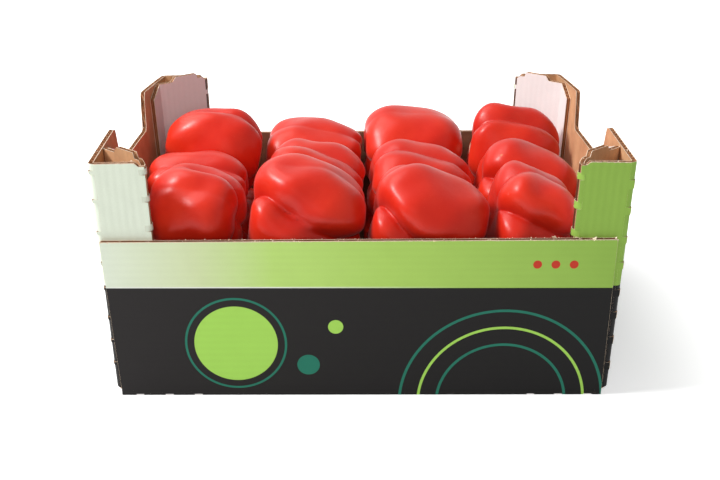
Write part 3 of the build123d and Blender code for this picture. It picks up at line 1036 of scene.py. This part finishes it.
def red_pepper(name, node, pepper, loops, around):
    """One pepper, filling the box of its CAD node, with its calyx and cut stem."""
    low, high = (np.array(corner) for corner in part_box(node))
    stations = (1 - np.cos(pi * np.arange(loops + 2) / (loops + 1))) / 2
    angles = 2 * pi * np.arange(around) / around
    rough, groove = skin(pepper, stations[:, None], angles[None, :])
    rough_low, rough_high = rough.min(axis=(0, 1)), rough.max(axis=(0, 1))

    def settle(points):
        return low + (points - rough_low) / (rough_high - rough_low) * (high - low)

    body = settle(rough)
    points = [body[0, 0], *body[1:-1].reshape(-1, 3), body[-1, 0]]
    grooves = [0, *groove[1:-1].ravel(), 0]
    faces, index = tube_faces(loops, around, 1)
    last = loops * around + 1
    faces += [(0, *pair) for pair in zip(np.roll(index[0], -1).tolist(), index[0].tolist())]
    faces += [(last, *pair) for pair in zip(index[-1].tolist(), np.roll(index[-1], -1).tolist())]
    materials = [0] * len(faces)

    pole, tip = (body[-1, 0], body[0, 0])[::pepper.stem_end]
    axis = (pole - tip) / np.linalg.norm(pole - tip)
    lobes = 1 + calyx_point_share * np.cos(calyx_points * angles + pepper.yaw)[None, :]
    from_pole = np.linspace(*calyx_reach, calyx_rings)[:, None] * lobes
    leaf, _ = skin(pepper, 1 - from_pole if pepper.stem_end > 0 else from_pole, angles[None, :])
    thick = np.linspace(*calyx_thickness, calyx_rings)[:, None, None]
    calyx = settle(leaf) + axis * thick
    side = np.cross(axis, (0, 0, 1.0))
    side /= np.linalg.norm(side)
    rise = np.cross(side, axis)
    rib = 1 + stem_rib_share * np.cos(stem_ribs * angles)
    circle = (np.cos(angles) * rib)[:, None] * side + (np.sin(angles) * rib)[:, None] * rise
    if pepper.stem_end > 0:
        circle = circle[::-1]
    stem = np.array([pole + axis * stem_length * up + circle * radius for up, radius in stem_profile])
    for rows, cut_from in ((calyx[::-1], None), (stem, stem_cut_from)):
        quads, index = tube_faces(len(rows), around, len(points))
        points += list(rows.reshape(-1, 3))
        grooves += [0] * (len(rows) * around)
        faces += quads
        materials += [2 if cut_from is not None and number // around >= cut_from else 1
                      for number in range(len(quads))]
    faces.append(tuple(index[-1].tolist()))
    materials.append(2)

    mesh = bpy.data.meshes.new(name)
    mesh.from_pydata([tuple(point) for point in points], [], faces)
    mesh.attributes.new("groove", "FLOAT", "POINT").data.foreach_set("value", np.array(grooves, np.float32))
    mesh.polygons.foreach_set("material_index", np.array(materials, np.int32))
    mesh.shade_smooth()
    return new_object(name, mesh, skin_material, stem_material, cut_material)


def peppers():
    made = {}
    for place, pepper in top_peppers.items():
        node = "pepper_top_" + place
        made[node] = red_pepper("red_" + node, node, pepper, *top_skin)
    for number, row in enumerate(("front", "middle", "back")):
        for column in range(4):
            form = (number + column) % len(lower_grooves)
            pepper = Pepper(stem_end=1 if form else -1, grooves=lower_grooves[form])
            node = f"pepper_lower_{row}_{column + 1}"
            made[node] = red_pepper("red_" + node, node, pepper, *lower_skin)
    return made


for piece in carton_pieces():
    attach(piece, "root")
    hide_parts("carton")
for node, piece in peppers().items():
    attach(piece, "root")
    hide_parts(node)


def add_camera():
    data = bpy.data.cameras.new("photo_camera")
    data.sensor_width = 36
    data.lens = focal_pixels / photo_width * data.sensor_width
    data.clip_end = 50
    camera = new_object("photo_camera", data)
    camera.location = camera_place
    camera.rotation_euler = (pi / 2 - camera_pitch, 0, camera_yaw)
    bpy.context.scene.camera = camera


def add_soft_light(name, place, size, power, in_reflections=True):
    """A round softbox turned to the carton; size is its diameter and power is in watts."""
    data = bpy.data.lights.new(name, "AREA")
    data.shape = "DISK"
    data.size = size
    data.energy = power
    light = new_object(name, data)
    light.location = place
    light.rotation_euler = (Vector(light_target) - Vector(place)).to_track_quat("-Z", "Y").to_euler()
    light.visible_glossy = in_reflections


def seen_by_camera(tree):
    """1 where the surroundings are looked at, straight or reflected, and 0 where they only give light."""
    rays = tree.add("ShaderNodeLightPath").outputs
    mirrored = tree.math("MAXIMUM", rays["Is Glossy Ray"], rays["Is Transmission Ray"])
    return tree.math("MAXIMUM", rays["Is Camera Ray"], mirrored)


def add_floor():
    """A pale floor that keeps the shadow near the carton and fades to white around it."""
    corners = [(x * floor_half, y * floor_half, 0) for x, y in ((-1, -1), (1, -1), (1, 1), (-1, 1))]
    mesh = bpy.data.meshes.new("studio_floor")
    mesh.from_pydata(corners, [], [(0, 1, 2, 3)])
    material, tree = new_material("studio_floor")
    place = tree.object_place()
    tone = tree.times_plus(tree.noise(place, 3), 0.01, 0.9)
    diffuse = tree.add("ShaderNodeBsdfDiffuse", {"Color": tree.grey(tone)})
    away = tree.add("ShaderNodeVectorMath", {0: place}, operation="LENGTH").outputs["Value"]
    fade = tree.step(away, floor_fade_from, floor_fade_to)
    level = tree.times_plus(fade, 1 - floor_lift, floor_lift)
    glow = tree.add("ShaderNodeEmission", {"Strength": tree.times(seen_by_camera(tree), level)})
    both = tree.add("ShaderNodeAddShader", {0: diffuse.outputs[0], 1: glow.outputs[0]})
    tree.add("ShaderNodeOutputMaterial", {"Surface": both.outputs[0]})
    floor = new_object("studio_floor", mesh, material)


def add_world():
    """A white studio to look at, which gives little light of its own."""
    world = bpy.data.worlds.new("studio")
    world.use_nodes = True
    world.node_tree.nodes.clear()
    tree = Tree(world.node_tree)
    level = tree.times_plus(seen_by_camera(tree), 1 - world_strength, world_strength)
    background = tree.add("ShaderNodeBackground", {"Color": (1, 1, 1, 1), "Strength": level})
    tree.add("ShaderNodeOutputWorld", {"Surface": background.outputs[0]})
    bpy.context.scene.world = world


add_camera()
add_floor()
add_world()
add_soft_light("key_softbox", (-1.15, -0.2, 1.25), size=0.42, power=24)
add_soft_light("top_softbox", (-0.75, 0.35, 1.5), size=1.4, power=14)
add_soft_light("front_softbox", (0, -1.75, 0.9), size=1.2, power=12.5, in_reflections=False)
bpy.context.scene.view_settings.view_transform = "Standard"
